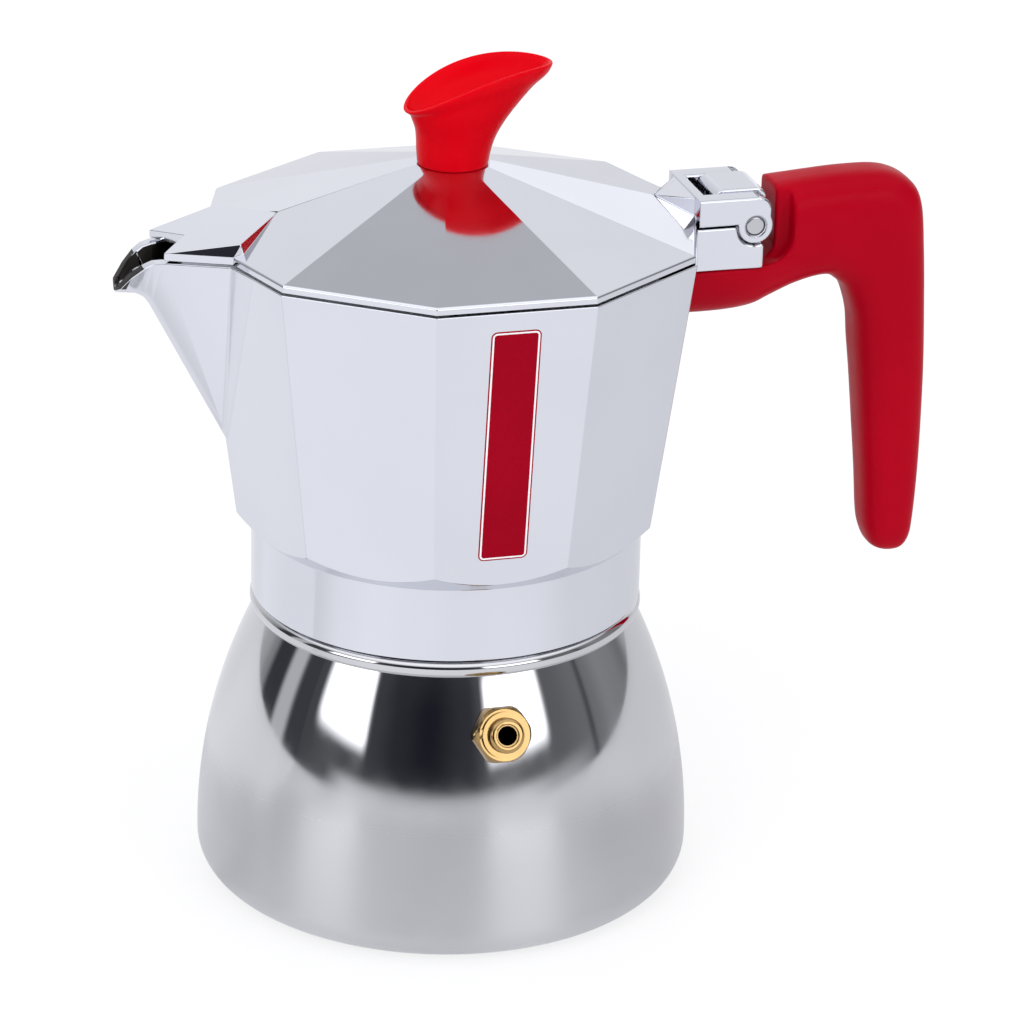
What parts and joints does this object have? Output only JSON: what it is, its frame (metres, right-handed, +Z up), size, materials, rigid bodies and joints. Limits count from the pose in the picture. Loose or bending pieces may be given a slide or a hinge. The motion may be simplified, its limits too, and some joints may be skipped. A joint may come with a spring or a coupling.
{
  "type": "moka pot",
  "caption": "Stove-top coffee pot: round steel boiler with safety valve, funnel and filter, ten-sided aluminium chamber with spout, hinged lid, moulded handle and knob.",
  "frame": {"origin": "centre of the boiler's flat base", "axes": "+Z up along the pot's axis, +X towards the handle, -X towards the spout, -Y towards the safety valve"},
  "size_m": [0.1533, 0.0922, 0.1561],
  "materials": {
    "boiler_steel": "polished, satin towards the base",
    "cast_aluminium": "polished cast",
    "sheet_aluminium": "satin sheet",
    "valve_brass": "polished",
    "fastener_steel": "plain zinc and steel",
    "handle_red": "satin moulded",
    "knob_red": "satin moulded",
    "seal": "matt silicone"
  },
  "bodies": {
    "boiler_base": {"boiler": "boiler_steel", "valve_body": "valve_brass", "valve_cap": "valve_brass", "valve_washer": "seal", "valve_nut": "valve_brass", "valve_spring": "fastener_steel"},
    "blow_off_ball": {"valve_ball": "fastener_steel"},
    "basket": {"funnel": "sheet_aluminium", "funnel_screen": "fastener_steel"},
    "seal_ring": {"gasket": "seal"},
    "strainer": {"filter_plate": "fastener_steel"},
    "upper_pot": {"upper_chamber": "cast_aluminium", "brew_column": "cast_aluminium", "handle": "handle_red", "handle_screw": "fastener_steel", "hinge_pin": "fastener_steel"},
    "cover": {"lid": "cast_aluminium", "knob": "knob_red", "knob_screw": "fastener_steel", "knob_washer": "fastener_steel"}
  },
  "joints": [
    {"name": "lid_hinge", "type": "hinge", "parent": "upper_pot", "child": "cover", "pos_m": [0.0546, 0, 0.12498], "axis": [0, 1, 0], "range_deg": [0, 100]},
    {"name": "unscrew", "type": "hinge", "parent": "strainer", "child": "upper_pot", "pos_m": [0, 0, 0], "axis": [0, 0, 1], "range_deg": [0, 540]},
    {"name": "thread_rise", "type": "slide", "parent": "seal_ring", "child": "strainer", "axis": [0, 0, 1], "range_m": [0, 0.0046]},
    {"name": "lift_off", "type": "slide", "parent": "boiler_base", "child": "seal_ring", "axis": [0, 0, 1], "range_m": [0, 0.13]},
    {"name": "funnel_lift", "type": "slide", "parent": "boiler_base", "child": "basket", "axis": [0, 0, 1], "range_m": [0, 0.0655]},
    {"name": "valve_blow_off", "type": "slide", "parent": "boiler_base", "child": "blow_off_ball", "axis": [0, -0.9318, 0.363], "range_m": [0, 0.0008], "stiffness_N_per_m": 300, "springref_m": -0.002, "deforming": ["valve_spring"]}
  ],
  "couplings": [
    {"joint": "thread_rise", "follows": "unscrew", "m_per_rad": 0.00047746},
    {"joint": "funnel_lift", "follows": "lift_off", "ratio": 0.5}
  ]
}
